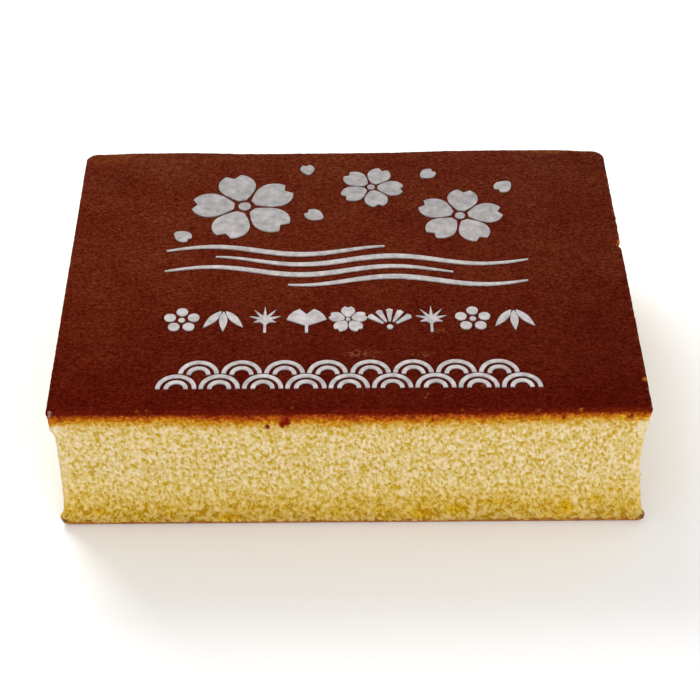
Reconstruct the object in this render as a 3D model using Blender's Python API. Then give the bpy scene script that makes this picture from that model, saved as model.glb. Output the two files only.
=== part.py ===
"""A castella: one cut slab of honey sponge under a browned crust.

The sponge has shrunk a little between its two crusts, so each side is waisted, the left and right
ones with a step under the top layer. The bottom crust stands out as a lip, further on the right and
furthest at the front corners.
White sugar, sifted through a stencil, stands on the top crust: blossoms over running water, a row of
small ornaments and a band of waves. X runs along the front, Y away from it and Z up. The origin is
under the middle.
"""

import math

import bmesh
import bpy
import numpy as np
from mathutils import Vector, noise

# Driving dimensions, in metres
WIDTH = 0.190
DEPTH = 0.139
HEIGHT = 0.0516
TOP_CRUST = 0.0046
BOTTOM_CRUST = 0.0030
FRONT_CORNER_RADIUS = 0.0012
BACK_CORNER_RADIUS = 0.0040
CRUMB_CELL = 0.0050
CRUMB_DEPTH = 0.0004
CRUST_EDGE_WANDER = 0.0001
# How squarely the sides meet: the power that turns a place on them into its outward direction
SQUARENESS = 31
SUGAR_RELIEF = 0.0004
SUGAR_ROOT = 0.0010

# How far the sides stand in from the top crust's edge, from the base up: the height, and the recess
# of the front and back, of the left side and of the right side
FRONT_AND_BACK, LEFT, RIGHT = 1, 2, 3
SIDE_PROFILE = (
    (0.0, 0.0012, 0.0012, -0.0012),
    (0.0010, 0.0006, 0.0006, -0.0024),
    (0.0024, 0.0003, 0.0001, -0.0028),
    (0.0040, 0.0004, -0.0001, -0.0022),
    (0.0056, 0.0006, 0.0013, -0.0012),
    (0.0110, 0.0010, 0.0017, -0.0005),
    (0.0180, 0.0012, 0.0018, 0.0005),
    (0.0250, 0.0012, 0.0019, 0.0014),
    (0.0402, 0.0010, 0.0018, 0.0013),
    (0.0432, 0.0008, 0.0005, 0.0004),
    (0.0470, 0.0005, 0.0006, 0.0006),
    (0.0492, 0.0003, 0.0004, 0.0002),
    (0.0508, 0.0001, 0.0001, 0.0),
    (HEIGHT, 0.0008, 0.0008, 0.0006),
)

# Behind the front's upright edges the foot's lip, which ends at LIP_TOP, falls to a share of its reach
LIP_TOP = 0.0110
LIP_SHARE = 0.45
LIP_FALL = (0.0012, 0.0050)

# How far the back edge strays outward from straight, along X from the crust's middle
BACK_EDGE = (
    (-0.095, -0.0009),
    (-0.088, -0.0008),
    (-0.078, -0.0002),
    (-0.055, 0.0),
    (-0.036, -0.0008),
    (0.0, -0.0006),
    (0.018, -0.0004),
    (0.037, 0.0005),
    (0.055, 0.0008),
    (0.078, 0.0008),
    (0.086, 0.0001),
    (0.095, -0.0005),
)

# The sugar design, in millimetres on the top crust, from its middle
MM = 0.001
BLOSSOMS = ((-36.0, 36.0, 18.5, 0.25), (9.0, 47.0, 11.5, 0.85), (40.0, 30.0, 15.0, -0.15))
LOOSE_PETALS = (
    (-7.0, 28.0, 8.5, 1.0),
    (26.0, 52.0, 7.5, -0.9),
    (60.0, 51.0, 8.5, 2.4),
    (-61.0, 22.0, 8.0, -2.2),
    (-13.0, 53.5, 7.0, 0.2),
)
WATER_LINES = ((-62.0, 13.0, 11.0), (-45.0, 62.0, 5.5), (-62.0, 36.0, 0.0), (-20.0, 61.0, -5.5))
WATER_SWELL = 2.2
WATER_LENGTH = 62.0
WATER_STROKE = 2.2
PITCH = 13.7
ORNAMENT_HEIGHT = -25.5
ORNAMENT_RADIUS = 6.4
WAVE_COUNT = 9
WAVE_BASE = -58.5
WAVE_RADIUS = 6.5
WAVE_INNER_RADIUS = 3.8
WAVE_STROKE = 1.4
WAVE_GAP = 0.6


def placed(outline, x, y, turn=0.0):
    """The outline turned about its root and moved to (x, y)."""
    c, s = math.cos(turn), math.sin(turn)
    return [(x + c * px - s * py, y + s * px + c * py) for px, py in outline]


def around(reach, turn):
    """The point at a distance and an angle from the origin."""
    return reach * math.cos(turn), reach * math.sin(turn)


def disc(radius, sides):
    """A round dot."""
    return [around(radius, 2 * math.pi * i / sides) for i in range(sides)]


def mirrored(right_side):
    """The left side of an outline, from the tip back to the root."""
    return [(-x, y) for x, y in reversed(right_side)]


def petal(reach, steps):
    """A notched petal that points along +Y, widest past its middle, with two rounded tips."""
    root, breadth, notch = 0.20 * reach, 0.72 * reach, 0.10 * reach
    widest, fall = 0.58, 0.46
    side = []
    for i in range(steps + 1):
        t = i / steps
        if t < widest:
            half = breadth / 2 * math.sin(math.pi / 2 * (0.14 + 0.86 * t / widest))
        else:
            half = breadth / 2 * math.sqrt(1 - ((t - widest) / fall) ** 2)
        side.append((half, root + (reach - root) * t))
    return side + [(0.0, reach - notch)] + mirrored(side)


def leaf(root, tip, breadth, steps):
    """A pointed leaf along +Y, from its root to its tip."""
    side = []
    for i in range(1, steps):
        t = i / steps
        side.append((breadth / 2 * math.sin(math.pi * t ** 0.85), root + (tip - root) * t))
    return [(0.0, root)] + side + [(0.0, tip)] + mirrored(side)


def cherry(radius, steps=3):
    """Five notched petals round a dot."""
    petals = [placed(petal(radius, steps), 0, 0, 2 * math.pi * k / 5) for k in range(5)]
    return petals + [disc(0.12 * radius, 6)]


def plum(radius):
    """Five round petals round a dot."""
    turns = [math.pi / 2 + 2 * math.pi * k / 5 for k in range(5)]
    petals = [placed(disc(0.30 * radius, 8), *around(0.64 * radius, t)) for t in turns]
    return petals + [disc(0.17 * radius, 6)]


def bamboo(radius):
    """Three hanging leaves that fan from one root."""
    blade = leaf(0.2 * radius, 1.75 * radius, 0.42 * radius, 4)
    return [placed(blade, 0, 0.85 * radius, math.pi + turn) for turn in (-0.62, 0.0, 0.62)]


def maple(radius):
    """One leaf of seven pointed lobes, with its stalk."""
    reaches = (0.60, 0.84, 0.96, 1.05, 0.96, 0.84, 0.60)
    valley = 0.30 * radius
    spread = math.radians(250)
    step = spread / len(reaches)
    start = math.pi / 2 - spread / 2
    points = []
    for k, reach in enumerate(reaches):
        points.append(around(valley, start + step * k))
        points.append(around(reach * radius, start + step * (k + 0.5)))
    points.append(around(valley, start + spread))
    half, top, foot = 0.07 * radius, -0.35 * radius, -radius
    return [points + [(-half, top), (-half, foot), (half, foot), (half, top)]]


def ginkgo(radius):
    """One fan-shaped leaf with a split edge, on a stalk."""
    half, root, foot = 0.08 * radius, -0.45 * radius, -radius
    spread, split, droop = math.radians(66), 0.55, 0.07
    blade = []
    for k in range(-4, 5):
        reach = 1.40 - droop * abs(k) - split * (k == 0)
        blade.append(around(reach * radius, math.pi / 2 + spread * k / 4))
    return [[(-half, foot), (half, foot), (half, root)] + placed(blade, 0, root) + [(-half, root)]]


def fan(radius):
    """The ribs of an open folding fan, over its pin."""
    root = -0.60 * radius
    half, apart = math.radians(7.5), math.radians(25)
    corners = ((0.45, -half), (1.35, -half), (1.42, 0.0), (1.35, half), (0.45, half))
    rib = [around(reach * radius, math.pi / 2 + turn) for reach, turn in corners]
    ribs = [placed(rib, 0, root, k * apart) for k in range(-2, 3)]
    return ribs + [placed(disc(0.16 * radius, 6), 0, root)]


def water_line(x_from, x_to, height, steps=11):
    """One stroke of running water, swelling in its middle and thin at both ends."""
    over, under = [], []
    for i in range(steps + 1):
        t = i / steps
        x = x_from + (x_to - x_from) * t
        y = height + WATER_SWELL * math.sin(2 * math.pi * x / WATER_LENGTH)
        half = WATER_STROKE / 2 * (0.22 + 0.78 * math.sin(math.pi * t) ** 0.7)
        over.append((x, y + half))
        under.append((x, y - half))
    return under + over[::-1]


def wave_ring(radius, start, steps):
    """One ring of a wave scale, as a thick arc over the top from start to its mirror."""
    turns = [start + (math.pi - 2 * start) * i / steps for i in range(steps + 1)]
    outer = [around(radius, t) for t in turns]
    inner = [around(radius - WAVE_STROKE, t) for t in reversed(turns)]
    return outer + inner


def covered_until(radius):
    """The angle at which a ring of the upper row comes clear of the scales in front of it."""
    cover = WAVE_RADIUS + WAVE_GAP
    across, down = PITCH / 2, WAVE_RADIUS
    c = radius ** 2 + across ** 2 + down ** 2 - cover ** 2
    a, b = 2 * radius * across, 2 * radius * down
    return max(0.0, math.acos(c / math.hypot(a, b)) - math.atan2(b, a))


def wave_band():
    """Two rows of wave scales, the upper row half a scale along and behind the lower one."""
    outlines = []
    for row, count in enumerate((WAVE_COUNT, WAVE_COUNT - 1)):
        y = WAVE_BASE + row * WAVE_RADIUS
        for radius, steps in ((WAVE_RADIUS, 6), (WAVE_INNER_RADIUS, 4)):
            ring = wave_ring(radius, row * covered_until(radius), steps)
            outlines += [placed(ring, (k - (count - 1) / 2) * PITCH, y) for k in range(count)]
    return outlines


def ornament_row():
    """Nine small ornaments in a row."""
    kinds = (plum, bamboo, maple, ginkgo, cherry, fan, maple, plum, bamboo)
    outlines = []
    for k, kind in enumerate(kinds):
        x = (k - (len(kinds) - 1) / 2) * PITCH
        outlines += [placed(outline, x, ORNAMENT_HEIGHT) for outline in kind(ORNAMENT_RADIUS)]
    return outlines


def blossoms_on_water():
    """Three blossoms and some loose petals over the lines of running water."""
    outlines = []
    for x, y, radius, turn in BLOSSOMS:
        outlines += [placed(outline, x, y, turn) for outline in cherry(radius, 5)]
    for x, y, reach, turn in LOOSE_PETALS:
        outlines.append(placed(petal(reach, 3), x, y, turn))
    for x_from, x_to, height in WATER_LINES:
        outlines.append(water_line(x_from, x_to, height))
    return outlines


def material(name, colour, roughness):
    """A plain material of one colour."""
    made = bpy.data.materials.new(name)
    made.use_nodes = True
    shader = made.node_tree.nodes["Principled BSDF"]
    shader.inputs["Base Color"].default_value = (*colour, 1.0)
    shader.inputs["Roughness"].default_value = roughness
    shader.inputs["Metallic"].default_value = 0.0
    made.diffuse_color = (*colour, 1.0)
    return made


def is_upright(edge):
    """Whether an edge runs straight up."""
    low, high = sorted(edge.verts, key=lambda v: v.co.z)
    return (high.co - low.co).xy.length < MM / 10 and high.co.z - low.co.z > MM


def round_corners(bm):
    """Rounds the block's upright edges, the two at the back more than the cut ones in front."""
    for at_back, radius, segments in ((True, BACK_CORNER_RADIUS, 4), (False, FRONT_CORNER_RADIUS, 2)):
        edges = [e for e in bm.edges if is_upright(e) and (e.verts[0].co.y > 0) == at_back]
        bmesh.ops.bevel(
            bm, geom=edges, offset=radius, segments=segments, profile=0.5, affect="EDGES", material=-1
        )


def slice_sides(bm, middle, normal):
    """Cuts the side faces, and not the top or the base, along one plane."""
    bm.normal_update()
    sides = [f for f in bm.faces if abs(f.normal.z) < 0.5]
    edges = {e for f in sides for e in f.edges}
    verts = {v for f in sides for v in f.verts}
    bmesh.ops.bisect_plane(bm, geom=[*verts, *edges, *sides], dist=MM / 100, plane_co=middle, plane_no=normal)


def stations(length):
    """Evenly spaced places along one side, about one crumb cell apart."""
    count = round(length / CRUMB_CELL)
    return [length * (i / count - 0.5) for i in range(1, count)]


def levels():
    """The heights at which the sides bend, with others between them no more than a cell apart."""
    heights = []
    keys = [row[0] for row in SIDE_PROFILE]
    for low, high in zip(keys, keys[1:]):
        count = math.ceil((high - low) / CRUMB_CELL)
        heights += [low + (high - low) * i / count for i in range(count)]
    return heights[1:]


def recess_at(height, column):
    """How far the sides in one column of the profile stand in at a height."""
    heights = [row[0] for row in SIDE_PROFILE]
    return float(np.interp(height, heights, [row[column] for row in SIDE_PROFILE]))


def side_recess(place):
    """How far the left or right side stands in at a place. The foot's lip is longest in front."""
    column = RIGHT if place.x > 0 else LEFT
    here = recess_at(place.z, column)
    over_lip = recess_at(max(place.z, LIP_TOP), column)
    share = float(np.interp(place.y + DEPTH / 2, LIP_FALL, (1.0, LIP_SHARE)))
    return over_lip + (here - over_lip) * share


def back_stray(place):
    """How far a place is moved along Y by the uneven back edge. The front stays straight."""
    xs, strays = zip(*BACK_EDGE)
    return float(np.interp(place.x, xs, strays)) * max(0.0, place.y / (DEPTH / 2))


def crumb(place):
    """How deep the torn crumb is at a place on a side. The crusts are nearly smooth."""
    in_sponge = BOTTOM_CRUST < place.z < HEIGHT - TOP_CRUST
    depth = CRUMB_DEPTH if in_sponge else CRUST_EDGE_WANDER
    return depth * noise.noise(place / (1.3 * CRUMB_CELL))


def shape_sides(bm):
    """Draws each level in to the side profile and gives the sides their uneven crumb."""
    for v in bm.verts:
        place = v.co.copy()
        outward = Vector((2 * place.x / WIDTH, 2 * place.y / DEPTH))
        outward = Vector((outward.x ** SQUARENESS, outward.y ** SQUARENESS)).normalized()
        rough = crumb(place)
        x_shrink = side_recess(place) / (WIDTH / 2)
        y_shrink = recess_at(place.z, FRONT_AND_BACK) / (DEPTH / 2)
        v.co.x = place.x * (1 - x_shrink) - outward.x * rough
        v.co.y = place.y * (1 - y_shrink) - outward.y * rough + back_stray(place)


def sponge_slab():
    """The slab as a mesh: a box with rounded corners whose sides are sliced and then shaped."""
    bm = bmesh.new()
    bmesh.ops.create_cube(bm, size=1.0)
    bmesh.ops.scale(bm, vec=(WIDTH, DEPTH, HEIGHT), verts=bm.verts)
    bmesh.ops.translate(bm, vec=(0, 0, HEIGHT / 2), verts=bm.verts)
    round_corners(bm)
    for x in stations(WIDTH):
        slice_sides(bm, (x, 0, 0), (1, 0, 0))
    for y in stations(DEPTH):
        slice_sides(bm, (0, y, 0), (0, 1, 0))
    for z in levels():
        slice_sides(bm, (0, 0, z), (0, 0, 1))
    shape_sides(bm)
    mesh = bpy.data.meshes.new("castella")
    bm.to_mesh(mesh)
    bm.free()
    return mesh


def sugar_design(name):
    """The stencilled sugar as one mesh of closed strokes that are rooted in the crust."""
    curve = bpy.data.curves.new(name, "CURVE")
    curve.dimensions = "2D"
    curve.fill_mode = "BOTH"
    curve.extrude = (SUGAR_RELIEF + SUGAR_ROOT) / 2
    for outline in blossoms_on_water() + ornament_row() + wave_band():
        spline = curve.splines.new("POLY")
        spline.points.add(len(outline) - 1)
        for point, (x, y) in zip(spline.points, outline):
            point.co = (x * MM, y * MM, 0, 1)
        spline.use_cyclic_u = True
    drawn = bpy.data.objects.new(name + "_drawing", curve)
    bpy.context.scene.collection.objects.link(drawn)
    drawn.location.z = HEIGHT + (SUGAR_RELIEF - SUGAR_ROOT) / 2
    bpy.context.view_layer.update()
    mesh = bpy.data.meshes.new_from_object(drawn.evaluated_get(bpy.context.evaluated_depsgraph_get()))
    bm = bmesh.new()
    bm.from_mesh(mesh)
    bmesh.ops.remove_doubles(bm, verts=bm.verts, dist=MM / 100)
    bmesh.ops.recalc_face_normals(bm, faces=bm.faces)
    bm.to_mesh(mesh)
    bm.free()
    strokes = bpy.data.objects.new(name, mesh)
    strokes.matrix_world = drawn.matrix_world
    bpy.data.objects.remove(drawn)
    bpy.data.curves.remove(curve)
    return strokes


def join_sugar(slab, strokes_collection):
    """Makes the slab and its sugar one closed body, and removes what was joined on."""
    union = slab.modifiers.new("sugar", "BOOLEAN")
    union.operation = "UNION"
    union.operand_type = "COLLECTION"
    union.collection = strokes_collection
    union.solver = "EXACT"
    bpy.context.view_layer.update()
    joined = bpy.data.meshes.new_from_object(slab.evaluated_get(bpy.context.evaluated_depsgraph_get()))
    slab.modifiers.clear()
    slab.data = joined
    for strokes in list(strokes_collection.objects):
        bpy.data.objects.remove(strokes)
    bpy.data.collections.remove(strokes_collection)


def paint(mesh):
    """Gives each face the material of the layer that it is in."""
    layers = (
        material("sponge", (0.69, 0.49, 0.19), 0.9),
        material("crust", (0.075, 0.010, 0.003), 0.7),
        material("sugar", (0.60, 0.56, 0.52), 0.95),
    )
    mesh.materials.clear()
    for layer in layers:
        mesh.materials.append(layer)
    for face in mesh.polygons:
        height = face.center.z
        if height > HEIGHT + SUGAR_RELIEF / 4:
            face.material_index = 2
        elif height > HEIGHT - TOP_CRUST or height < BOTTOM_CRUST:
            face.material_index = 1
        else:
            face.material_index = 0


def centre_on_base(mesh):
    """Moves the mesh so that its box stands on Z 0, centred on the origin."""
    low = Vector([min(v.co[axis] for v in mesh.vertices) for axis in range(3)])
    high = Vector([max(v.co[axis] for v in mesh.vertices) for axis in range(3)])
    middle = (low + high) / 2
    for v in mesh.vertices:
        v.co -= Vector((middle.x, middle.y, low.z))


def main():
    for old in list(bpy.data.objects):
        bpy.data.objects.remove(old)
    parts = bpy.data.collections.new("castella")
    bpy.context.scene.collection.children.link(parts)
    stencilled = bpy.data.collections.new("stencilled_sugar")
    bpy.context.scene.collection.children.link(stencilled)
    slab = bpy.data.objects.new("castella", sponge_slab())
    parts.objects.link(slab)
    stencilled.objects.link(sugar_design("sugar"))
    join_sugar(slab, stencilled)
    paint(slab.data)
    centre_on_base(slab.data)


main()
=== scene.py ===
"""The looks of a castella: a slab of honey sponge with a wrinkled brown crust and a sugar stencil.

Everything is in metres unless a name says otherwise. X runs along the front cut face, Y away from
it and Z up from the base. The pieces repeat the solid's side profile, and add the cut crumb, the
crust's skin and the sifted sugar.
"""

import math

import bmesh
import bpy
import numpy as np
from mathutils import Matrix, Vector, noise


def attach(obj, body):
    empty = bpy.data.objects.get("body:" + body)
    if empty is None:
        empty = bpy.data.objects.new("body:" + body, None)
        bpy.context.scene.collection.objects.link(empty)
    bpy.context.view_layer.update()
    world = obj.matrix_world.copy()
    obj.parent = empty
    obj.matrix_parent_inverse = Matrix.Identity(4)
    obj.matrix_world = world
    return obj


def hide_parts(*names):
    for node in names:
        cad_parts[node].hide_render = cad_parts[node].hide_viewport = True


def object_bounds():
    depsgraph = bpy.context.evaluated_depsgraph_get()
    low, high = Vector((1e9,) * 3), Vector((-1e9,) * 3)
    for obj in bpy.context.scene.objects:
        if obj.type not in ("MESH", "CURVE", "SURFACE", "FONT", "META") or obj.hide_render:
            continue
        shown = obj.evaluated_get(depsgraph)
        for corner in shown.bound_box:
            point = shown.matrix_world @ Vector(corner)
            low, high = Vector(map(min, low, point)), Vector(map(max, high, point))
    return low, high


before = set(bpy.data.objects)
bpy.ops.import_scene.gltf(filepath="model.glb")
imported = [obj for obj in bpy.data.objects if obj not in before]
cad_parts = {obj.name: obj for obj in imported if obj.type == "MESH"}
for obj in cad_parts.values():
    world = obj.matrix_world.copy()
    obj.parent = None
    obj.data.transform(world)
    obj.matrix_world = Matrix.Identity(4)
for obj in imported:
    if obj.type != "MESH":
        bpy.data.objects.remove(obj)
CAD_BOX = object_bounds()

MM = 0.001
# The vector noise would start from the clock without a seed
NOISE_SEED = 1

# The slab
WIDTH = 0.190
DEPTH = 0.139
HEIGHT = 0.0516
FRONT_CORNER_RADIUS = 0.0012
BACK_CORNER_RADIUS = 0.0040
# How far the sides stand in from the top crust's edge, from the base up: the height, and the recess
# of the front and back, of the left side and of the right side, each in the column named here
FRONT_AND_BACK, LEFT, RIGHT = 1, 2, 3
SIDE_PROFILE = (
    (0.0, 0.0012, 0.0012, -0.0012),
    (0.0010, 0.0006, 0.0006, -0.0024),
    (0.0024, 0.0003, 0.0001, -0.0028),
    (0.0040, 0.0004, -0.0001, -0.0022),
    (0.0056, 0.0006, 0.0013, -0.0012),
    (0.0110, 0.0010, 0.0017, -0.0005),
    (0.0180, 0.0012, 0.0018, 0.0005),
    (0.0250, 0.0012, 0.0019, 0.0014),
    (0.0402, 0.0010, 0.0018, 0.0013),
    (0.0432, 0.0008, 0.0005, 0.0004),
    (0.0470, 0.0005, 0.0006, 0.0006),
    (0.0492, 0.0003, 0.0004, 0.0002),
    (0.0508, 0.0001, 0.0001, 0.0),
    (HEIGHT, 0.0008, 0.0008, 0.0006),
)
PROFILE_COLUMNS = list(zip(*SIDE_PROFILE))
# The foot's lip ends at LIP_TOP. Between these distances behind the front it falls to a share of its
# reach
LIP_TOP = 0.0110
LIP_SHARE = 0.45
LIP_FALL = (0.0012, 0.0050)
# How far the back edge strays outward from straight, along X from the crust's middle
BACK_EDGE = (
    (-0.095, -0.0009),
    (-0.088, -0.0008),
    (-0.078, -0.0002),
    (-0.055, 0.0),
    (-0.036, -0.0008),
    (0.0, -0.0006),
    (0.018, -0.0004),
    (0.037, 0.0005),
    (0.055, 0.0008),
    (0.078, 0.0008),
    (0.086, 0.0001),
    (0.095, -0.0005),
)
# The foot on the right and the stray back edge put the crust's middle off the origin
MIDDLE = Vector((-0.00132, -0.00038, 0.0))

# The layers, as heights over the base
BASE_CRUST_TOP = 0.0016
SPONGE_LOW = 0.0012
SPONGE_HIGH = HEIGHT - 0.0011

# The fineness of the meshes
LEVEL_GAP = 0.00050
FRONT_GAP = 0.00050
OTHER_GAP = 0.00085
CRUST_GAP = 0.00062

# The torn crumb of the cut sides, in millimetres. A pore starts to open at the first grain value and
# is open at the second
PORE_LENGTHS = (0.90, 0.48)
PORE_SHARES = (0.62, 0.58)
PORE_EDGES = (0.10, -0.42)
PORE_DEPTH = 0.34
PORE_STRETCH = 1.7
GRAIN_RISE = 0.14
WANDER = 0.20
WANDER_LENGTH = 14.0
# Larger bubbles: their spacing, the largest radius and the smallest one's share of it, their depth, and
# the share of places that have one
BUBBLE_SPACING = 6.5
BUBBLE_RADIUS = 1.5
SMALLEST_BUBBLE = 0.45
BUBBLE_DEPTH = 0.65
BUBBLE_SHARE = 0.35
# How many times more of them there are under the second height, with none more over the first
EXTRA_BUBBLES = 1.2
EXTRA_BUBBLES_HEIGHTS = (16.0, 4.0)
# How far a bubble's outline strays from round, and the length of its waves
BUBBLE_STRAY = 0.5
BUBBLE_WAVE = 0.9
# The crumb breaks into larger clumps near the base: their length, where the gaps between them start
# and are open, and the gaps' depth, none over the first height and all of it under the second
CLUMP_LENGTH = 2.3
GAP_EDGES = (-0.05, -0.40)
GAP_DEPTH = 0.60
GAP_HEIGHTS = (13.0, 6.0)
# The upright edges at the front are rubbed smoother over this width, by this share
RUBBED_WIDTHS = (2.8, 0.3)
RUBBED_SHARE = 0.7
# Small teeth of crumb along those edges: how far they stand out, their length, and how far from the
# edge they start and are full
TEETH_RISE = 0.30
TEETH_LENGTH = 0.8
TEETH_WIDTHS = (1.2, 0.2)
# How golden the crumb looks where it is rubbed and where it is level, and what the grain, a bubble and
# a gap between clumps add. Deeper places are also darker there, as painted shade
RUBBED_TONE = 0.26
LEVEL_TONE = 0.22
GRAIN_TONE = -1.2
BUBBLE_TONE_AND_SHADE = 0.5
GAP_TONE_AND_SHADE = 0.38
# Crumbs that were torn and still hang on at the front's upright edges: side, height, rise, size
TORN_CRUMBS = ((1, 21.5, 1.5, 0.75), (-1, 31.5, 0.6, 0.7), (-1, 15.6, 0.4, 0.6), (1, 12.0, 0.4, 0.6))
# The front ends of the lip are toasted up to about this height, and this far round them. The grain
# makes that height ragged
TOASTED_HEIGHT = 4.0
TOASTED_FADE = 0.6
TOASTED_RAGGEDNESS = 2.0
TOASTED_REACH = 2.6

# How far a mark's outline strays from round, as a share of its reach
MARK_STRAY = 0.5
# The marks of the front: how far behind it they reach, how deep the scorched ones are, the length of
# their outline's waves, and the shares of their reach where they start, are full and are cut off
MARKS_BEHIND = 2.0
SCORCHED_DEPTH = 0.18
FRONT_MARK_WAVE = 0.6
FRONT_MARK_EDGES = (1.1, 0.7)
FRONT_MARK_LIMIT = 1.3
# The marks of the crust: the same wave, edges and limit
CRUST_MARK_WAVE = 0.8
CRUST_MARK_EDGES = (1.0, 0.4)
CRUST_MARK_LIMIT = 1.0

# The crust's wrinkles and slow swells, in millimetres. They fade out this far under the top, which
# lies a little lower for them
WRINKLE_LENGTH = 2.2
WRINKLE_WIDTH = 1.4
WRINKLE_RISE = 0.15
WRINKLE_FADE = 0.6
SWELL_LENGTH = 26.0
SWELL_RISE = 0.10
TOP_DROP = 0.10
# The crust's cut edge starts this far under the top. It strays outward and along the height, fully at
# the depth given: each with how far, and the length of its waves
EDGE_START = 0.05
EDGE_STRAY = 0.14
EDGE_WAVE = 1.6
EDGE_DROP = 0.25
EDGE_DROP_WAVE = 2.4
EDGE_DROP_DEPTH = 1.9
# The level of the noise that the edge's drop is read from, so that it is the same all down the edge
EDGE_SLICE = 7.0
# Marks on the crust, from its middle: kind, strength, x, y, and how far they reach along X and Y
CRUST_MARKS = (
    ("golden", 0.9, 94.6, 15.4, 1.1, 1.5),
    ("golden", 0.4, 93.7, 13.6, 0.7, 0.9),
    ("golden", 0.6, 94.9, -36.0, 0.6, 0.8),
    ("golden", 0.8, 94.2, -55.0, 1.2, 1.1),
    ("golden", 0.06, -86.0, 66.0, 12.0, 5.0),
    ("golden", 0.17, 76.0, 69.2, 16.0, 2.6),
    ("golden", 0.4, -66.2, -68.4, 0.4, 0.6),
    ("golden", 0.4, -63.2, -68.2, 0.4, 0.6),
    ("golden", 0.4, -23.8, -68.4, 0.5, 0.6),
    ("golden", 0.35, -17.8, -67.3, 0.4, 0.6),
    ("golden", 0.35, 35.1, -68.6, 0.5, 0.6),
    ("golden", 0.35, 40.8, -68.6, 0.4, 0.5),
    ("golden", 0.4, 59.0, -69.0, 0.6, 0.5),
    ("golden", 0.6, 72.2, -68.8, 0.6, 0.7),
    # A painted highlight on the crust's front-left corner
    ("painted_highlight", 0.8, -93.5, -68.9, 0.6, 0.9),
    ("powdered", 0.55, 5.0, -42.2, 7.5, 2.2),
    ("powdered", 0.55, 23.3, -42.8, 5.5, 1.8),
    ("powdered", 0.6, 30.0, -31.2, 3.0, 1.7),
    ("powdered", 0.5, 42.0, -57.0, 3.2, 1.8),
    ("powdered", 0.6, 24.5, -62.1, 2.4, 1.6),
    ("powdered", 0.6, 31.1, -62.4, 2.0, 1.2),
)
# Small flecks along the crust's right rim: how golden they are, how far in they reach, the length
# between them, and where they start and are full
RIM_FLECKS = 0.22
RIM_FLECKS_WIDTH = 1.3
RIM_FLECKS_LENGTH = 1.4
RIM_FLECKS_EDGES = (0.26, 0.5)
# Marks on the front cut face, from its middle: kind, strength, x, height, and reach along X and Z
FRONT_MARKS = (
    ("scorched", 1.0, -26.0, 44.6, 1.1, 1.2),
    ("scorched", 0.8, -28.4, 47.8, 0.7, 0.7),
    ("scorched", 1.0, -19.9, 47.0, 1.4, 2.5),
    ("scorched", 1.0, -21.3, 45.6, 1.1, 1.5),
    ("scorched", 0.45, 2.4, 47.4, 0.7, 1.4),
    ("scorched", 0.35, 3.8, 45.4, 0.7, 1.2),
    ("scorched", 0.8, 26.4, 47.2, 0.7, 0.7),
    ("scorched", 0.7, 25.2, 46.5, 0.6, 0.6),
    ("scorched", 0.9, 67.4, 48.3, 0.8, 1.0),
    ("scorched", 0.9, 88.4, 48.4, 1.4, 1.1),
    ("scorched", 0.4, 54.9, 46.7, 1.1, 0.7),
    ("scorched", 0.6, -87.0, 48.4, 1.0, 0.8),
    ("honeyed", 0.7, -84.2, 36.5, 0.9, 0.6),
    ("honeyed", 0.8, -65.5, 34.6, 1.4, 0.7),
    ("honeyed", 0.7, -62.8, 16.0, 0.7, 1.0),
    ("honeyed", 0.7, -74.2, 24.1, 0.7, 0.6),
    ("honeyed", 0.7, -59.8, 23.6, 0.8, 0.8),
    ("honeyed", 0.8, -49.8, 24.6, 0.7, 1.0),
    ("honeyed", 0.7, -45.5, 19.8, 0.8, 0.8),
    ("honeyed", 0.8, -34.3, 36.5, 0.8, 0.7),
    ("honeyed", 0.9, -40.0, 3.4, 4.4, 2.0),
    ("honeyed", 0.8, -82.5, 6.2, 3.4, 1.6),
    ("honeyed", 0.7, -20.0, 35.1, 1.0, 0.6),
    ("honeyed", 0.8, -2.2, 27.4, 1.5, 0.6),
    ("honeyed", 0.7, -4.4, 31.7, 0.8, 0.6),
    ("honeyed", 0.6, -3.5, 5.5, 2.6, 2.0),
    ("honeyed", 0.8, 9.5, 16.0, 0.9, 0.6),
    ("honeyed", 0.7, 9.6, 6.8, 2.6, 2.2),
    ("honeyed", 0.9, 22.3, 5.2, 4.0, 2.8),
    ("honeyed", 0.8, 22.8, 12.0, 5.0, 0.8),
    ("honeyed", 0.9, 34.4, 6.6, 4.2, 2.6),
    ("honeyed", 0.8, 47.0, 9.8, 5.4, 1.3),
    ("honeyed", 1.0, 70.6, 7.4, 3.2, 3.8),
    ("honeyed", 0.8, 79.8, 11.2, 2.2, 2.4),
    ("honeyed", 0.9, 85.9, 48.4, 1.4, 0.9),
    ("pale", 0.6, 73.4, 9.6, 0.9, 2.0),
    ("pale", 0.7, 93.0, 44.0, 2.2, 2.6),
    ("pale", 0.7, -92.6, 44.2, 2.4, 1.6),
)
# The bite out of the crust's right edge: x, y, size and depth, and the heights over which it fades in
NICK_X, NICK_Y, NICK_SIZE, NICK_DEPTH = 95.3, 13.6, 1.2, 1.5
NICK_FLOOR = (47.5, 49.0)

# The base crust's unevenness, in millimetres
BASE_RISE = 0.2
BASE_WAVE = 2.2

# The sugar design, in millimetres on the crust, from its middle
SUGAR_TOP = HEIGHT + 0.00030
SUGAR_ROOT = HEIGHT - 0.00050
BLOSSOMS = ((-36.0, 36.0, 18.5, 0.25), (9.0, 47.0, 11.5, 0.85), (40.0, 30.0, 15.0, -0.15))
LOOSE_PETALS = (
    (-7.0, 28.0, 8.5, 1.0),
    (26.0, 52.0, 7.5, -0.9),
    (60.0, 51.0, 8.5, 2.4),
    (-61.0, 22.0, 8.0, -2.2),
    (-13.0, 53.5, 7.0, 0.2),
)
WATER_LINES = ((-62.0, 13.0, 11.0), (-45.0, 62.0, 5.5), (-62.0, 36.0, 0.0), (-20.0, 61.0, -5.5))
WATER_SWELL = 2.2
WATER_LENGTH = 62.0
WATER_STROKE = 2.2
PITCH = 13.7
ORNAMENT_HEIGHT = -25.5
ORNAMENT_RADIUS = 6.4
WAVE_COUNT = 9
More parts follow.
